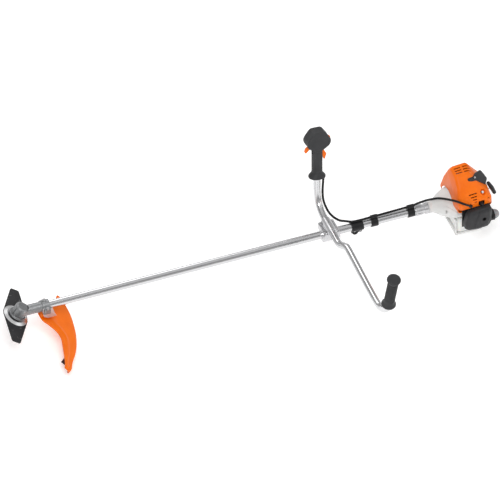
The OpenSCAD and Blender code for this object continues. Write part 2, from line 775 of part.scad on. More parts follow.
module filter_cover() {
    color("dimgray") difference() {
        union() {
            hull() {
                cover_slab(0, -104, -82.3);
                cover_slab(6, -110, -103);
            }
            hull() {
                cover_slab(16, -111, -105);
                cover_slab(20, -113, -106);
            }
        }
        hull() {
            cover_slab(3, -102, -81);
            cover_slab(8, -107, -101);
        }
        translate([461, 0, 2]) along_y(-120, -100, 5);
    }
}
module starter_housing() {
    color("dimgray") difference() {
        union() {
            ring_x(480, 500, 50, 47);
            along_x(498, 501, 50);
            cone_x(501 - eps, 508, 44, 30);
        }
        along_x(490, 503, 7);
        for (a = [0 : 30 : 330]) rotate([a, 0, 0]) block([495, 24, -2.5], [512, 38, 2.5]);
    }
}
module starter_pulley() {
    color("ivory") difference() {
        along_x(481, 494, 32);
        ring_x(485, 490, 40, 26);
        along_x(470, 500, 5.4);
    }
}
module starter_rope() {
    color("ivory") translate([0, -45, 59]) along_x(404, 506, 1.5);
}
module starter_grip() {
    color("black") translate([509, -45, 59]) difference() {
        rotate([0, -24, 0]) hull() {
            translate([0, 0, 24]) sphere(r = 6, $fn = 24);
            translate([0, 0, -24]) sphere(r = 6, $fn = 24);
            translate([1, 0, 0]) sphere(r = 7, $fn = 24);
        }
        along_x(-12, -3, 1.6);
    }
}
module fuel_tank() {
    color("white") difference() {
        union() {
            soft_block([402, tank_y0, tank_low], [486, tank_y1, -54], 12);
            translate([480, 24, -82]) rotate([0, 90, 0]) cylinder(r = 17, h = 12);
        }
        soft_block([405, tank_y0 + 3, tank_low + 3], [483, tank_y1 - 3, -57], 10);
        translate([470, 24, -82]) rotate([0, 90, 0]) cylinder(r = 12, h = 30);
    }
}
module fuel_cap() {
    color("dimgray") translate([492.3, 24, -82]) rotate([0, 90, 0]) {
        difference() {
            cylinder(r = 19, h = 10);
            for (a = [0 : 30 : 330]) rotate([0, 0, a]) translate([20, 0, -1]) cylinder(r = 2.6, h = 12);
        }
        translate([0, 0, -7]) cylinder(r = 11.6, h = 8);
        block([-14, -2.5, 9.9], [14, 2.5, 15]);
    }
}
module base_foot() {
    color("gainsboro") {
        block([397.3, tank_y0 + 4, foot_low], [482, tank_y1 - 4, tank_low - 0.3]);
        for (y = [tank_y0 + 4, tank_y1 - 10]) block([397.3, y, foot_low + 1], [401.6, y + 6, -66]);
        block([397.3, tank_y0 + 4, -78], [401.6, tank_y1 - 4, -58]);
    }
}

gearbox_housing();
gearbox_cap();
gearbox_screws();
grease_plug();
gearbox_bearings();
bevel_pinion();
bevel_gear();
output_shaft();
thrust_plate();
grass_blade();
rider_plate();
blade_nut();
deflector();
deflector_bracket();
deflector_screws();
line_knife();
drive_tube();
drive_shaft();
shaft_bushes();
handlebar_clamp_base();
handlebar_clamp_cap();
handlebar_screws();
handlebar();
left_grip();
control_handle();
throttle_trigger();
throttle_lockout();
stop_slider();
throttle_cable();
harness_eyelet();
eyelet_screw();
cable_clips();
vibration_collar();
clutch_housing();
clutch_bearing();
clutch_drum();
clutch_shoes();
flywheel();
crankcase();
crankshaft();
connecting_rod();
piston();
cylinder_part();  // cylinder
spark_plug();
plug_cover();
engine_shroud();
muffler();
carburettor();
choke_lever();
primer_bulb();
filter_base();
air_filter();
filter_cover();
starter_housing();
starter_pulley();
starter_rope();
starter_grip();
fuel_tank();
fuel_cap();
base_foot();
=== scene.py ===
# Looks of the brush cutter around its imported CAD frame.
import json
import math

import bmesh
import bpy
from mathutils import Matrix, Vector


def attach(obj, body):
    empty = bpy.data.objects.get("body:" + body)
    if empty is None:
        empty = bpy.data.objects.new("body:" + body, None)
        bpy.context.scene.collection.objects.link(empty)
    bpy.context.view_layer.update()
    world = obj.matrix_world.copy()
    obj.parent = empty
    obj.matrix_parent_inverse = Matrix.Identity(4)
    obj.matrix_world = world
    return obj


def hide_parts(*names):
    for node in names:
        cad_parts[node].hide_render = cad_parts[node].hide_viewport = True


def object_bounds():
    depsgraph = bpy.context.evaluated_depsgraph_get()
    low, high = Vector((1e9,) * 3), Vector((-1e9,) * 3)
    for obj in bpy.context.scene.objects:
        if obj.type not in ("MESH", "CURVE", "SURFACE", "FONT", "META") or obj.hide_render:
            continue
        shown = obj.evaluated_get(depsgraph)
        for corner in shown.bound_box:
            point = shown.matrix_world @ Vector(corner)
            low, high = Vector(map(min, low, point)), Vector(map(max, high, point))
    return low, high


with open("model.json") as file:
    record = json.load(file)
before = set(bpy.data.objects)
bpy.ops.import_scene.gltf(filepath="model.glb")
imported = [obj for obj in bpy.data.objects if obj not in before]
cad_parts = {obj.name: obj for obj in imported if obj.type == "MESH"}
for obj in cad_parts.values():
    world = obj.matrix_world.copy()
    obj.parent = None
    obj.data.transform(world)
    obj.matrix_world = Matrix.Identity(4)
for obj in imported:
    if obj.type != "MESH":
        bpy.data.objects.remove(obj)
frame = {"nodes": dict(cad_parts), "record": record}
cad_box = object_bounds()
NODES = frame["nodes"]

# The frame: the origin is on the drive tube under the handlebar, +X to the engine, +Z up.
ARBOR_X = -1.022
HEAD_TILT = math.radians(26.8)
HEAD_TURN = math.radians(12.4)
HEAD = (Matrix.Translation((ARBOR_X, 0, 0)) @ Matrix.Rotation(HEAD_TURN, 4, "X")
        @ Matrix.Rotation(HEAD_TILT, 4, "Y"))
MM = 0.001


# ---------- materials ----------
class Shader:
    """A node material built step by step around one Principled BSDF."""

    def __init__(self, name):
        self.mat = bpy.data.materials.new(name)
        self.mat.use_nodes = True
        self.tree = self.mat.node_tree
        self.bsdf = self.tree.nodes["Principled BSDF"]
        self.coords = self.node("ShaderNodeTexCoord").outputs["Object"]

    def node(self, kind, **values):
        made = self.tree.nodes.new(kind)
        for key, value in values.items():
            setattr(made, key, value)
        return made

    def link(self, source, target):
        self.tree.links.new(source, target)

    def noise(self, scale, detail=4.0, rough=0.55, stretch=None):
        tex = self.node("ShaderNodeTexNoise")
        tex.inputs["Scale"].default_value = scale
        tex.inputs["Detail"].default_value = detail
        tex.inputs["Roughness"].default_value = rough
        source = self.coords
        if stretch:
            mapping = self.node("ShaderNodeMapping")
            mapping.inputs["Scale"].default_value = stretch
            self.link(source, mapping.inputs["Vector"])
            source = mapping.outputs["Vector"]
        self.link(source, tex.inputs["Vector"])
        return tex.outputs["Fac"]

    def ramp(self, source, stops):
        ramp = self.node("ShaderNodeValToRGB")
        elements = ramp.color_ramp.elements
        while len(elements) < len(stops):
            elements.new(0.5)
        for element, (place, colour) in zip(elements, stops):
            element.position = place
            element.color = (*colour, 1.0)
        self.link(source, ramp.inputs["Fac"])
        return ramp.outputs["Color"]

    def mix(self, factor, a, b, mode="MIX"):
        mix = self.node("ShaderNodeMix", data_type="RGBA", blend_type=mode)
        if isinstance(factor, float):
            mix.inputs["Factor"].default_value = factor
        else:
            self.link(factor, mix.inputs["Factor"])
        for value, socket in ((a, mix.inputs["A"]), (b, mix.inputs["B"])):
            if isinstance(value, tuple):
                socket.default_value = (*value, 1.0)
            else:
                self.link(value, socket)
        return mix.outputs["Result"]

    def scuffs(self, amount):
        """Sparse rubbed marks: 0 nearly everywhere, amount in thin broken streaks."""
        streaks = self.noise(70.0, 8.0, 0.7, (1.0, 3.0, 1.0))
        return self.ramp(streaks, [(0.62, (0, 0, 0)), (0.72, (amount,) * 3)])

    def colour(self, value):
        self.link(value, self.bsdf.inputs["Base Color"])

    def roughness(self, source, low, high):
        span = self.node("ShaderNodeMapRange")
        span.inputs["To Min"].default_value = low
        span.inputs["To Max"].default_value = high
        self.link(source, span.inputs["Value"])
        self.link(span.outputs["Result"], self.bsdf.inputs["Roughness"])

    def bump(self, source, strength, distance):
        bump = self.node("ShaderNodeBump")
        bump.inputs["Strength"].default_value = strength
        bump.inputs["Distance"].default_value = distance
        self.link(source, bump.inputs["Height"])
        self.link(bump.outputs["Normal"], self.bsdf.inputs["Normal"])

    def set(self, **values):
        for key, value in values.items():
            self.bsdf.inputs[key.replace("_", " ")].default_value = value
        return self


def plastic(name, base, light, rough, grain=900.0, grain_depth=0.00006, wear=(0.5, 0.5, 0.5),
            wear_amount=0.12):
    """Moulded plastic: slow colour drift, fine spark-eroded grain, faint rubbed streaks."""
    s = Shader(name)
    drift = s.noise(14.0, 3.0)
    tint = s.ramp(drift, [(0.3, base), (0.75, light)])
    s.colour(s.mix(s.scuffs(wear_amount), tint, wear))
    s.roughness(s.noise(60.0, 5.0), rough - 0.06, rough + 0.08)
    s.bump(s.noise(grain, 2.0), 0.35, grain_depth)
    return s


def metal(name, base, light, rough, grain, stretch=None, depth=0.00004, metallic=1.0):
    """Machined, drawn or cast metal, with the marks of how it was made."""
    s = Shader(name)
    marks = s.noise(grain, 6.0, 0.6, stretch)
    soil = s.noise(22.0, 4.0)
    tint = s.ramp(marks, [(0.3, base), (0.7, light)])
    s.colour(s.mix(s.ramp(soil, [(0.45, (0, 0, 0)), (0.8, (0.25,) * 3)]), tint, base))
    s.roughness(marks, rough - 0.07, rough + 0.1)
    s.bump(marks, 0.4, depth)
    s.set(Metallic=metallic)
    return s


def orange_plastic():
    s = plastic("orange_plastic", (0.80, 0.135, 0.001), (0.90, 0.175, 0.002), 0.4, 700.0, 0.00004,
                (1.0, 0.35, 0.08), 0.15)
    s.set(Specular_IOR_Level=0.2, Coat_Weight=0.05, Coat_Roughness=0.2)
    return s.mat


def cast_metal():
    return metal("cast_metal", (0.20, 0.205, 0.21), (0.36, 0.365, 0.37), 0.40, 420.0, None,
                 0.00015, 0.85).mat


def tube_metal():
    s = metal("tube_metal", (0.52, 0.52, 0.53), (0.70, 0.70, 0.71), 0.17, 260.0, (1.0, 30.0, 30.0),
              0.00001)
    return s.mat


def clamp_alloy():
    """Bright tumbled aluminium of the handlebar clamp and the collar."""
    return metal("clamp_alloy", (0.50, 0.50, 0.51), (0.72, 0.72, 0.73), 0.30, 500.0, None,
                 0.00008, 0.9).mat


def machined_steel():
    return metal("machined_steel", (0.40, 0.40, 0.41), (0.70, 0.70, 0.70), 0.30, 500.0,
                 (4, 4, 40)).mat


def plate_steel():
    return metal("plate_steel", (0.50, 0.50, 0.51), (0.80, 0.80, 0.80), 0.30, 300.0, (3, 3, 30)).mat


def dark_steel():
    s = metal("dark_steel", (0.035, 0.036, 0.04), (0.10, 0.10, 0.11), 0.42, 300.0, None,
              0.00008, 0.7)
    return s.mat


def blade_paint():
    s = plastic("blade_paint", (0.006, 0.006, 0.007), (0.018, 0.018, 0.02), 0.34, 500.0, 0.00003,
                (0.6, 0.6, 0.62), 0.9)
    return s.mat


def grip_rubber():
    s = plastic("grip_rubber", (0.020, 0.020, 0.022), (0.036, 0.037, 0.039), 0.55, 1400.0, 0.00012,
                (0.10, 0.10, 0.105), 0.3)
    return s.set(Specular_IOR_Level=0.35).mat


def black_plastic():
    s = plastic("black_plastic", (0.004, 0.004, 0.005), (0.010, 0.010, 0.011), 0.40, 900.0, 0.00007,
                (0.08, 0.08, 0.085), 0.3)
    return s.set(Specular_IOR_Level=0.3).mat


def cover_plastic():
    s = plastic("cover_plastic", (0.022, 0.022, 0.024), (0.034, 0.034, 0.036), 0.5, 1100.0, 0.00012,
                (0.12, 0.12, 0.125), 0.3)
    return s.set(Specular_IOR_Level=0.3).mat


def housing_grey():
    return plastic("housing_grey", (0.62, 0.62, 0.61), (0.78, 0.78, 0.77), 0.42, 800.0, 0.00006,
                   (0.9, 0.9, 0.9), 0.3).mat


def tank_white():
    s = plastic("tank_white", (0.70, 0.70, 0.67), (0.83, 0.83, 0.80), 0.36, 500.0, 0.00005,
                (0.95, 0.95, 0.93), 0.3)
    s.set(Subsurface_Weight=0.12, Subsurface_Scale=0.01)
    return s.mat


def white_plastic():
    return plastic("white_plastic", (0.66, 0.65, 0.60), (0.82, 0.81, 0.77), 0.5, 800.0, 0.00008).mat


def cable_sheath():
    s = plastic("cable_sheath", (0.003, 0.003, 0.003), (0.007, 0.007, 0.008), 0.42, 1200.0, 0.00005,
                (0.05, 0.05, 0.05))
    return s.set(Specular_IOR_Level=0.25).mat


def bulb_rubber():
    s = plastic("bulb_rubber", (0.24, 0.24, 0.25), (0.40, 0.40, 0.41), 0.3, 300.0, 0.00003)
    s.set(Subsurface_Weight=0.2, Subsurface_Scale=0.004, Coat_Weight=0.3)
    return s.mat


SLOT_MATERIALS = {
    "cast_metal": cast_metal(), "housing_grey": housing_grey(), "tank_white": tank_white(),
    "tube_metal": tube_metal(), "steel": machined_steel(), "plate_steel": plate_steel(),
    "dark_steel": dark_steel(), "blade_black": blade_paint(), "orange": orange_plastic(),
    "grip_rubber": grip_rubber(), "black_plastic": black_plastic(), "cover_grey": cover_plastic(),
    "cable_black": cable_sheath(), "bulb": bulb_rubber(), "white_parts": white_plastic(),
}

for row in frame["record"]["subparts"]:
    node = NODES[row["node"]]
    node.data.materials.clear()
    node.data.materials.append(SLOT_MATERIALS[row["material_slot"]])

bright = clamp_alloy()
for name in ("handlebar_clamp_base", "handlebar_clamp_cap", "vibration_collar", "handlebar_screws",
             "deflector_bracket"):
    NODES[name].data.materials[0] = bright


# ---------- building pieces ----------
def spline(points, steps):
    """Points along a Catmull-Rom curve through the given ones, in metres."""
    p = [Vector(q) * MM for q in points]
    out = []
    for i in range(len(p) - 1):
        a, b, c, d = p[max(i - 1, 0)], p[i], p[i + 1], p[min(i + 2, len(p) - 1)]
        for k in range(steps):
            t = k / steps
            out.append(0.5 * (2 * b + (c - a) * t + (2 * a - 5 * b + 4 * c - d) * t * t
                              + (3 * b - a - 3 * c + d) * t ** 3))
    return out + [p[-1]]


def tube_mesh(path, radius, sides, close=True):
    """A round tube along a path; radius is a number or a function of 0..1 along it."""
    rings = []
    side = None
    for i, place in enumerate(path):
        run = (path[min(i + 1, len(path) - 1)] - path[max(i - 1, 0)]).normalized()
        side = (run.orthogonal() if side is None else side - run * side.dot(run)).normalized()
        other = run.cross(side)
        r = radius(i / (len(path) - 1)) if callable(radius) else radius
        rings.append([place + r * (math.cos(a) * side + math.sin(a) * other)
                      for a in (2 * math.pi * k / sides for k in range(sides))])
    return ring_mesh(rings, close)


def ring_mesh(rings, close=True):
    """Faces between closed rings of points, with flat ends."""
    n = len(rings[0])
    verts = [v for ring in rings for v in ring]
    faces = []
    for i in range(len(rings) - 1):
        for k in range(n):
            a, b = i * n + k, i * n + (k + 1) % n
            faces.append((a, b, b + n, a + n))
    if close:
        faces.append(tuple(reversed(range(n))))
        faces.append(tuple(range((len(rings) - 1) * n, len(rings) * n)))
    return verts, faces


def turned_mesh(profile, matrix, sides=64):
    """A turned solid: profile is (radius, height) in mm around the matrix's Z axis."""
    rings = [[matrix @ (Vector((r * math.cos(a), r * math.sin(a), z)) * MM)
              for a in (2 * math.pi * k / sides for k in range(sides))] for r, z in profile]
    return ring_mesh(rings)


def hull_mesh(balls):
    """The convex skin around balls given as (x, y, z, radius) in mm."""
    bm = bmesh.new()
    for x, y, z, r in balls:
        bmesh.ops.create_icosphere(bm, subdivisions=4, radius=r * MM,
                                   matrix=Matrix.Translation(Vector((x, y, z)) * MM))
    made = bmesh.ops.convex_hull(bm, input=bm.verts)
    loose = [g for g in made["geom_interior"] if isinstance(g, bmesh.types.BMVert)]
    bmesh.ops.delete(bm, geom=loose, context="VERTS")
    bmesh.ops.delete(bm, geom=[v for v in bm.verts if not v.link_faces], context="VERTS")
    return bm


def box_mesh(bm, low, high, matrix=Matrix()):
    """Adds a box between two corners in mm to a bmesh."""
    a, b = Vector(low) * MM, Vector(high) * MM
    place = matrix @ Matrix.Translation((a + b) / 2) @ Matrix.Diagonal((*(b - a), 1))
    bmesh.ops.create_cube(bm, size=1.0, matrix=place)


def new_object(name, source):
    """An object from a bmesh or from (vertices, faces)."""
    mesh = bpy.data.meshes.new(name)
    if isinstance(source, tuple):
        mesh.from_pydata([tuple(v) for v in source[0]], [], source[1])
    else:
        source.to_mesh(mesh)
        source.free()
    made = bpy.data.objects.new(name, mesh)
    bpy.context.collection.objects.link(made)
    return made


def clean_normals(obj, angle=32.0):
    """Faces outwards, smooth except across edges sharper than the angle in degrees."""
    bm = bmesh.new()
    bm.from_mesh(obj.data)
    bmesh.ops.recalc_face_normals(bm, faces=bm.faces)
    bm.to_mesh(obj.data)
    bm.free()
    obj.data.shade_smooth()
    obj.data.set_sharp_from_angle(angle=math.radians(angle))


def settle(obj):
    """Replaces an object's mesh by the result of its modifiers."""
    view = bpy.context.evaluated_depsgraph_get()
    view.update()
    made = bpy.data.meshes.new_from_object(obj.evaluated_get(view))
    obj.modifiers.clear()
    obj.data = made


def cut(obj, tool, mode="DIFFERENCE"):
    """Applies one boolean and removes its tool."""
    step = obj.modifiers.new("cut", "BOOLEAN")
    step.operation = mode
    step.solver = "EXACT"
    step.use_self = True
    step.object = tool
    settle(obj)
    bpy.data.objects.remove(tool)


def bevel(obj, width, segments=3, angle=35.0):
    """Adds a bevel, width in mm, to edges sharper than the angle in degrees."""
    step = obj.modifiers.new("soft_edges", "BEVEL")
    step.width = width * MM
    step.segments = segments
    step.limit_method = "ANGLE"
    step.angle_limit = math.radians(angle)


def finish_piece(obj, slot, body, *nodes, angle=32.0):
    """Gives a piece its material, its body and the CAD nodes it stands for."""
    clean_normals(obj, angle)
    obj.data.materials.clear()
    obj.data.materials.append(SLOT_MATERIALS[slot])
    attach(obj, body)
    if nodes:
        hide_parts(*nodes)
    return obj


def cast_copy(name, node, voxel, passes, slot, body="root", grooves=None):
    """A cast or moulded part: the CAD solid with its inner and outer corners flowed together."""
    made = bpy.data.objects.new(name, NODES[node].data.copy())
    made.matrix_world = NODES[node].matrix_world.copy()
    bpy.context.collection.objects.link(made)
    step = made.modifiers.new("skin", "REMESH")
    step.mode = "VOXEL"
    step.voxel_size = voxel * MM
    flow = made.modifiers.new("flow", "SMOOTH")
    flow.factor = 0.5
    flow.iterations = passes
    settle(made)
    if grooves:
        cut(made, new_object("grooves", grooves))
    finish_piece(made, slot, body, node, angle=60.0)
    return made


# ---------- tube, handlebar and cable ----------
BAR = [(3, 124, 184), (-1, 114, 134), (-4, 105, 90), (-6, 88, 52), (-6, 60, 33), (-5, 38, 26.4),
       (-5, 30, 26), (-5, 0, 26), (-5, -40, 26), (-5, -78, 26), (-2, -98, 31), (3, -118, 41),
       (6, -140, 44), (6, -250, 39), (7, -370, 33), (8, -420, 42), (10, -452, 66),
       (12, -468, 98), (20, -491, 208)]
CABLE = [(22, 118, 124), (18, 113, 96), (16, 110, 64), (16, 98, 36), (20, 62, 21), (35, 30, 16),
         (56, 12, 18), (79, 0, 20.5), (140, 0, 20.5), (200, 0, 22), (264, 0, 24), (285, 0, 28),
         (310, -2, 33), (329, -7, 37), (346, -20, 46), (363, -45, 58), (381, -77, 71),
         (397, -102, 76), (412, -103, 66), (423, -99, 55)]
finish_piece(new_object("handlebar_tube", tube_mesh(spline(BAR, 12), 11.1 * MM, 40)),
             "tube_metal", "root", "handlebar", angle=60.0)


def cable_radius(t):
    """The sheath swells into a moulded boot at the carburettor's end."""
    return (3.6 + 2.0 * min(1.0, max(0.0, (t - 0.965) / 0.012))) * MM


finish_piece(new_object("throttle_cable_sheath", tube_mesh(spline(CABLE, 10), cable_radius, 20)),
             "cable_black", "root", "throttle_cable", angle=60.0)

# ---------- grips ----------
LEFT = (Matrix.Translation(Vector((12, -468, 98)) * MM) @ Matrix.Rotation(math.radians(4), 4, "Y")
        @ Matrix.Rotation(math.radians(11.5), 4, "X"))


def grip_profile():
    """Left grip: flared skirt, ribbed barrel and a domed rim."""
    rows = [(13.0, 0), (22.4, 0), (23, 1.2), (23, 4), (21.5, 7), (18.6, 11), (16.9, 15), (16.3, 19)]
    for k in range(17):
        z = 22 + 5.2 * k
        rows += [(15.6, z), (16.9, z + 0.7), (17.1, z + 1.8), (16.9, z + 2.9), (15.6, z + 3.6)]
    rows += [(16.4, 110), (17.2, 112.5), (20.4, 117), (21.8, 119.5), (22, 122), (21.4, 124.6),
             (19.5, 125.8), (10, 126), (0.5, 126)]
    return rows


finish_piece(new_object("left_grip_sleeve", turned_mesh(grip_profile(), LEFT)),
             "grip_rubber", "root", "left_grip", angle=50.0)
cast_copy("control_handle_body", "control_handle", 0.9, 4, "grip_rubber")
cast_copy("starter_grip_handle", "starter_grip", 0.8, 3, "black_plastic", "pull_grip")

# ---------- gearhead ----------
slots = bmesh.new()
box_mesh(slots, (18.6, -1.6, -4), (32, 1.6, 22.5),
         HEAD @ Matrix.Rotation(math.radians(192), 4, "Z"))
cast_copy("gear_housing_casting", "gearbox_housing", 0.8, 4, "cast_metal", grooves=slots)
HOUSING_RADII = [(330, 18), (344, 27), (356, 36), (376, 46), (394, 52), (422, 52)]


def on_housing(x, turn):
    """A point on the clutch housing's skin: x along the tube, turn in degrees from -Y to +Z."""
    for (x0, r0), (x1, r1) in zip(HOUSING_RADII, HOUSING_RADII[1:]):
        if x <= x1:
            break
    r = r0 + (r1 - r0) * (x - x0) / (x1 - x0)
    a = math.radians(turn)
    return Vector((x, -r * math.cos(a), r * math.sin(a))) * MM


GROOVE = 1.7
BUTTON = 4.2
PORE = 2.0
marks = bmesh.new()
groove_path = [on_housing(366 + 4.5 * k, 29 - 4.5 * k) for k in range(11)]
groove_verts, groove_faces = tube_mesh(groove_path, GROOVE * MM, 10)
made = [marks.verts.new(v) for v in groove_verts]
for face in groove_faces:
    marks.faces.new([made[i] for i in face])
bmesh.ops.create_icosphere(marks, subdivisions=3, radius=BUTTON * MM,
                           matrix=Matrix.Translation(on_housing(409, -15)))
box_mesh(marks, (362, -46, -6), (367, -34, 7))
for turn in (60, 96, 132, -70):
    for x in (400, 411):
        bmesh.ops.create_icosphere(marks, subdivisions=2, radius=PORE * MM,
                                   matrix=Matrix.Translation(on_housing(x, turn)))
cast_copy("clutch_housing_casting", "clutch_housing", 1.1, 4, "housing_grey", grooves=marks)
cast_copy("fuel_tank_moulding", "fuel_tank", 1.4, 4, "tank_white")

# ---------- deflector ----------
GUARD_OUT = [(182, 78), (190, 71), (198, 44), (202, 8), (200, -23), (193, -61), (181, -99),
             (158, -146), (128, -188), (117, -206), (111, -217), (103, -225)]
GUARD_IN = [(176, 73), (164, 58), (110, 34), (78, 8), (80, -24), (98, -42), (117, -66), (123, -92),
            (117, -120), (105, -163), (98, -188), (90, -204), (85, -215), (88, -224)]
GUARD_TOP = 4.0
GUARD_WALL = 31.0
GUARD_STATIONS = 90
GUARD_THICK = 2.6


def along(points, count):
    """Evenly spaced points along a smoothed outline."""
    path = [Vector((q.x, q.y)) / MM for q in spline([(x, y, 0) for x, y in points], 12)]
    runs = [0.0]
    for a, b in zip(path, path[1:]):
        runs.append(runs[-1] + (b - a).length)
    out = []
    j = 0
    for k in range(count):
        s = runs[-1] * k / (count - 1)
        while j < len(runs) - 2 and runs[j + 1] < s:
            j += 1
        t = (s - runs[j]) / max(runs[j + 1] - runs[j], 1e-9)
        out.append(path[j].lerp(path[j + 1], min(max(t, 0.0), 1.0)))
    return out


def guard_section(t):
    """Across the guard at t along it: (share of the width, height) from inner lip to wall foot."""
    fade = min(1.0, t / 0.08, (1 - t) / 0.05)
    rib = 2.6 * min(1.0, max(0.0, (t - 0.3) / 0.1)) * fade
    lip = 5.0 * fade + 2.0
    foot = GUARD_WALL * (0.38 + 0.62 * fade) - 1.0
    rows = [(0.03, -lip), (0.0, -lip * 0.55), (0.005, -1.4), (0.04, -0.35), (0.1, 0.0), (0.2, 0.0)]
    rows += [(0.26, 0.25 * rib), (0.31, 0.8 * rib), (0.35, rib), (0.39, 0.8 * rib),
             (0.45, 0.15 * rib)]
    rows += [(0.55, -0.3), (0.75, -0.3), (0.9, -0.4), (0.96, -1.2), (0.99, -2.8), (1.0, -5.0)]
    rows += [(1.0, -5 - (foot - 5) * k / 6) for k in range(1, 7)]
    return rows


def guard_mesh():
    """The guard's outer skin, swept between its inner and outer outlines."""
    outer = along(GUARD_OUT, GUARD_STATIONS)
    inner = along(GUARD_IN, GUARD_STATIONS)
    verts, faces = [], []
    for k, (a, b) in enumerate(zip(inner, outer)):
        t = k / (GUARD_STATIONS - 1)
        for share, rise in guard_section(t):
            place = a.lerp(b, share)
            verts.append(HEAD @ (Vector((place.x, place.y, GUARD_TOP + rise)) * MM))
    n = len(guard_section(0.5))
    for k in range(GUARD_STATIONS - 1):
        for j in range(n - 1):
            a = k * n + j
            faces.append((a, a + 1, a + 1 + n, a + n))
    for base in (0, (GUARD_STATIONS - 1) * n):
        faces.append(tuple(range(base, base + n)))
    return verts, faces


guard = new_object("deflector_shield", guard_mesh())
clean_normals(guard)
shell = guard.modifiers.new("wall", "SOLIDIFY")
shell.thickness = GUARD_THICK * MM
shell.offset = -1.0
settle(guard)
saddle = bmesh.new()
box_mesh(saddle, (78, -17, 3.0), (118, 17, 16), HEAD)
saddle = new_object("deflector_saddle", saddle)
bevel(saddle, 2.5, 4)
settle(saddle)
finish_piece(saddle, "orange", "root")
finish_piece(guard, "orange", "root", "deflector", angle=40.0)

# ---------- engine cover ----------
SHROUD = [(392, 54, 22), (396, 37, 68), (400, 11, 113), (403, 0, 128), (404, -30, 122),
          (402, -58, 102), (400, -76, 74), (398, -82, 58), (438, 0, 131), (436, -34, 122),
          (452, 0, 108), (474, 8, 82), (484, -40, 69), (486, -76, 33), (484, -78, 58),
          (494, -40, 12), (494, 36, 12), (480, 44, 30), (398, -80, 30), (394, 54, 16)]
PLUG = [(434, -51, 121, 5), (452, -47, 119.5, 5), (465, -26, 112, 5), (470, -47, 101, 5),
        (483, -14, 104, 7), (494, -27, 86, 7), (486, -44, 85, 5)]
SHROUD_SKIN = 11.9
SHROUD_HOLLOW = 9.5
PLUG_SEAT = 12.1


def facing(place, out):
    """A frame at a place in mm, its Z axis pointing out."""
    turn = Vector(out).to_track_quat("Z", "X").to_matrix().to_4x4()
    return Matrix.Translation(Vector(place) * MM) @ turn


def drill(bm, radius, top_radius, depth, segments, matrix):
    """Adds a cone-shaped cutter, sizes in mm, to a bmesh."""
    bmesh.ops.create_cone(bm, cap_ends=True, segments=segments, radius1=radius * MM,
                          radius2=top_radius * MM, depth=depth * MM, matrix=matrix)


RECESS = facing((469.5, -77.0, 81.0), (0.158, -0.754, 0.637))
ACROSS = Matrix.Rotation(math.pi / 2, 4, "Y")


def shroud_skin(radius, name):
    """The cover's skin as a rounded hull."""
    return new_object(name, hull_mesh([(*p, radius) for p in SHROUD]))


shroud = shroud_skin(SHROUD_SKIN, "engine_cover")
openings = bmesh.new()
box_mesh(openings, (380, -120, -20), (540, 90, 12))
box_mesh(openings, (380, -120, -21), (540, -77.4, 41))
box_mesh(openings, (411, 36, 10), (520, 90, 70))
box_mesh(openings, (450, -110, 40), (470, -80, 60))
for x in (400, 427):
    for y in (-28, -19, -10):
        box_mesh(openings, (x, y, 112), (x + 21, y + 4.2, 160))
for k in range(4):
    box_mesh(openings, (422 + 5 * k, -110, 82 - 8 * k), (448 - k, -70, 86 - 8 * k))
box_mesh(openings, (480, -100, 60), (487, -80, 63.5))
drill(openings, 53, 53, 200, 48, Matrix.Translation((0.47, 0, 0)) @ ACROSS)
drill(openings, 8, 8.6, 30, 40, RECESS @ Matrix.Scale(1.25, 4, (1, 0, 0)))
drill(openings, 4, 4, 50, 24, Matrix.Translation((0.495, -0.045, 0.059)) @ ACROSS)
cut(shroud, shroud_skin(SHROUD_HOLLOW, "hollow"))
cut(shroud, new_object("openings", openings))
bevel(shroud, 0.7, 2, 50.0)
settle(shroud)
finish_piece(shroud, "orange", "root", "engine_shroud", angle=28.0)

plug = new_object("spark_plug_cover", hull_mesh(PLUG))
cut(plug, shroud_skin(PLUG_SEAT, "seat"))
bevel(plug, 0.8, 3, 50.0)
settle(plug)
finish_piece(plug, "cover_grey", "root", "plug_cover", angle=28.0)

COVER_SCREW = facing((453.2, -50.0, 123.6), (0.35, -0.5, 0.79))
screw_head = [(0.3, 0.5), (1.2, 0.5), (1.5, 1.5), (2.6, 1.4), (3.0, 0.8), (3.0, -2.0), (0.3, -2.0)]
finish_piece(new_object("plug_cover_screw", turned_mesh(screw_head, COVER_SCREW, 28)),
             "steel", "root")

# ---------- recess with its adjusting knob ----------
bowl = [(0.3, -8.4), (3.5, -8.2), (6.0, -7.0), (7.2, -4.5), (7.8, -1.5), (8.4, 0.3), (9.4, 0.5),
        (9.6, -0.6), (8.8, -4.8), (7.0, -8.0), (4.0, -9.2), (0.3, -9.4)]
wide_bowl = turned_mesh(bowl, RECESS @ Matrix.Scale(1.2, 4, (1, 0, 0)), 40)
finish_piece(new_object("cover_recess", wide_bowl), "orange", "root")
knob = [(4.4, -8.6), (4.4, -3.6), (4.0, -2.8), (2.2, -2.6), (0.3, -2.6)]
finish_piece(new_object("adjusting_knob", turned_mesh(knob, RECESS, 32)), "steel", "root")

# ---------- filter cover ----------
COVER = [(420, 33), (457, 38), (486, 36), (490, 28), (491, 11), (488, -21), (484, -30), (475, -39),
         (441, -42), (413, -38), (401, -29), (402, -13), (410, 18)]
CORNER = 0.16
PANEL = [(447, 29), (480, 33), (481, -2), (474, -22), (440, -32), (428, -28), (437, 4)]


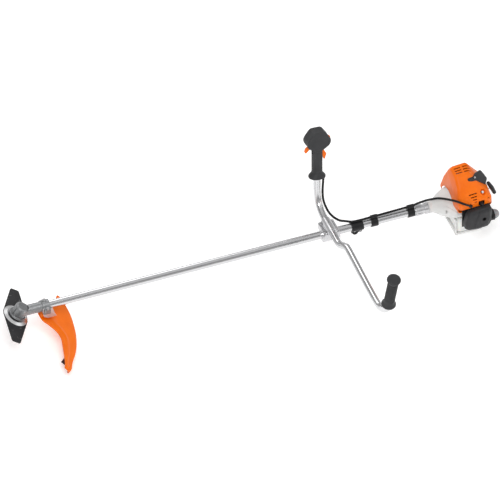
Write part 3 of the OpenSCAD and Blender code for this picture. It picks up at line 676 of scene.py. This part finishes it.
def slab(outline, rows):
    """A moulded slab: rows are (y, inset) in mm, insets drawn towards the outline's middle."""
    cx = sum(p[0] for p in outline) / len(outline)
    cz = sum(p[1] for p in outline) / len(outline)
    fine = []
    n = len(outline)
    for i in range(n):
        a, b, c = outline[i - 1], outline[i], outline[(i + 1) % n]
        for t in (0.0, 0.25, 0.5, 0.75, 1.0):
            start = (b[0] + (a[0] - b[0]) * CORNER, b[1] + (a[1] - b[1]) * CORNER)
            stop = (b[0] + (c[0] - b[0]) * CORNER, b[1] + (c[1] - b[1]) * CORNER)
            fine.append(tuple((1 - t) ** 2 * start[j] + 2 * t * (1 - t) * b[j] + t * t * stop[j]
                              for j in (0, 1)))
    rings = []
    for y, inset in rows:
        ring = []
        for x, z in fine:
            reach = math.hypot(x - cx, z - cz)
            k = max(0.0, 1 - inset / reach)
            ring.append(Vector((cx + (x - cx) * k, y, cz + (z - cz) * k)) * MM)
        rings.append(ring)
    return ring_mesh(rings)


SOCKET = Matrix.Translation(Vector((461, -111.2, 2)) * MM) @ Matrix.Rotation(math.pi / 2, 4, "X")


def socket_bore():
    """A cutter for the cover screw's hole."""
    return new_object("bore", turned_mesh([(7.0, -6.0), (7.0, 8.0)], SOCKET, 40))


lid = new_object("filter_cover_shell", slab(COVER, [
    (-82.5, 0.6), (-83, 0.1), (-100, 0.4), (-102.5, 1.0), (-104.5, 2.4), (-106.2, 4.6),
    (-108.2, 9.5), (-109.2, 13.0), (-109.5, 17.0)]))
cut(lid, socket_bore())
finish_piece(lid, "cover_grey", "air_cover", "filter_cover", angle=26.0)
panel = new_object("filter_cover_panel", slab(PANEL, [
    (-105, -3.0), (-108.8, -2.0), (-111.6, 1.2), (-112.6, 3.0), (-112.9, 6.0)]))
cut(panel, socket_bore())
finish_piece(panel, "cover_grey", "air_cover", angle=26.0)
# Painted shade: a near-black sleeve and floor lining the cover screw's hole, darker than the cover,
# standing in for the shade inside the hole.
shade_lining_profile = [(0.3, -3.2), (5.2, -3.2), (5.5, 1.4), (6.3, 1.9), (7.0, 1.2), (7.0, -4.0), (0.3, -4.0)]
finish_piece(new_object("cover_screw_hole_painted_shade", turned_mesh(shade_lining_profile, SOCKET, 40)), "cable_black",
             "air_cover")

# ---------- softened edges on the machined and pressed parts ----------
SOFT_EDGES = {
    "handlebar_clamp_base": 1.2, "handlebar_clamp_cap": 1.0, "gearbox_cap": 0.6,
    "deflector_bracket": 0.5, "vibration_collar": 0.4, "harness_eyelet": 0.8, "cable_clips": 0.5,
    "fuel_cap": 0.8, "starter_housing": 0.6, "filter_base": 0.6, "choke_lever": 0.6,
    "crankcase": 0.6, "muffler": 0.4, "base_foot": 0.8, "thrust_plate": 0.4, "rider_plate": 0.5,
    "blade_nut": 0.5, "gearbox_screws": 0.25, "handlebar_screws": 0.25, "stop_slider": 0.4,
}
for node, width in SOFT_EDGES.items():
    bevel(NODES[node], width, 3, 30.0)


# ---------- stage, light and camera ----------
def floor(low_z):
    """A plain pale floor just under the machine."""
    bpy.ops.mesh.primitive_plane_add(size=14, location=(-0.2, 0, low_z - 0.0005))
    plane = bpy.context.object
    plane.name = "floor"
    s = Shader("floor_paint")
    s.colour(s.ramp(s.noise(3.0), [(0.3, (0.93, 0.93, 0.93)), (0.7, (0.95, 0.95, 0.95))]))
    s.set(Roughness=0.8, Emission_Color=(1, 1, 1, 1), Emission_Strength=0.3)
    plane.data.materials.append(s.mat)


def area_light(name, place, size, power, target=(-0.25, 0, 0)):
    """A square soft light aimed at a point near the machine's middle."""
    data = bpy.data.lights.new(name, "AREA")
    data.size = size
    data.energy = power
    lamp = bpy.data.objects.new(name, data)
    lamp.location = place
    lamp.rotation_euler = (Vector(target) - Vector(place)).to_track_quat("-Z", "Y").to_euler()
    bpy.context.collection.objects.link(lamp)


AZIMUTH = -20.8
ELEVATION = 42.4
VIEW_WIDTH = 1.529


def camera():
    """A long-lens view: the tube keeps one width along its length."""
    azimuth = math.radians(AZIMUTH)
    elevation = math.radians(ELEVATION)
    right = Vector((math.cos(azimuth), math.sin(azimuth), 0))
    back = Vector((math.sin(azimuth) * math.cos(elevation),
                   -math.cos(azimuth) * math.cos(elevation), math.sin(elevation)))
    up = back.cross(right)
    data = bpy.data.cameras.new("camera")
    data.type = "ORTHO"
    data.ortho_scale = VIEW_WIDTH
    data.clip_end = 30
    cam = bpy.data.objects.new("camera", data)
    cam.location = right * -0.2462 + up * -0.0538 + back * 5.0
    cam.rotation_euler = back.to_track_quat("Z", "Y").to_euler()
    bpy.context.collection.objects.link(cam)
    bpy.context.scene.camera = cam


def studio():
    """Bright overhead world with a darker band low down, so metal has something to mirror."""
    world = bpy.data.worlds.new("studio")
    world.use_nodes = True
    tree = world.node_tree
    back = tree.nodes["Background"]
    coords = tree.nodes.new("ShaderNodeTexCoord")
    split = tree.nodes.new("ShaderNodeSeparateXYZ")
    ramp = tree.nodes.new("ShaderNodeValToRGB")
    tree.links.new(coords.outputs["Generated"], split.inputs["Vector"])
    tree.links.new(split.outputs["Z"], ramp.inputs["Fac"])
    tree.links.new(ramp.outputs["Color"], back.inputs["Color"])
    tone = ramp.color_ramp.elements
    tone[0].position = 0.0
    tone[0].color = (0.6, 0.6, 0.6, 1)
    tone[1].position = 0.9
    tone[1].color = (1, 1, 1, 1)
    for place, value in ((0.3, 0.8), (0.5, 0.9), (0.56, 0.18), (0.7, 0.14), (0.74, 0.95)):
        stop = tone.new(place)
        stop.color = (value, value, value, 1)
    back.inputs["Strength"].default_value = 0.7
    bpy.context.scene.world = world


floor(cad_box[0][2])
area_light("key_light", (-1.4, -2.4, 3.4), 2.0, 85)
area_light("fill_light", (2.6, -1.6, 2.0), 2.5, 24)
area_light("back_light", (-0.4, 3.0, 2.8), 2.5, 40)
studio()
bpy.context.scene.view_settings.view_transform = "Standard"
camera()
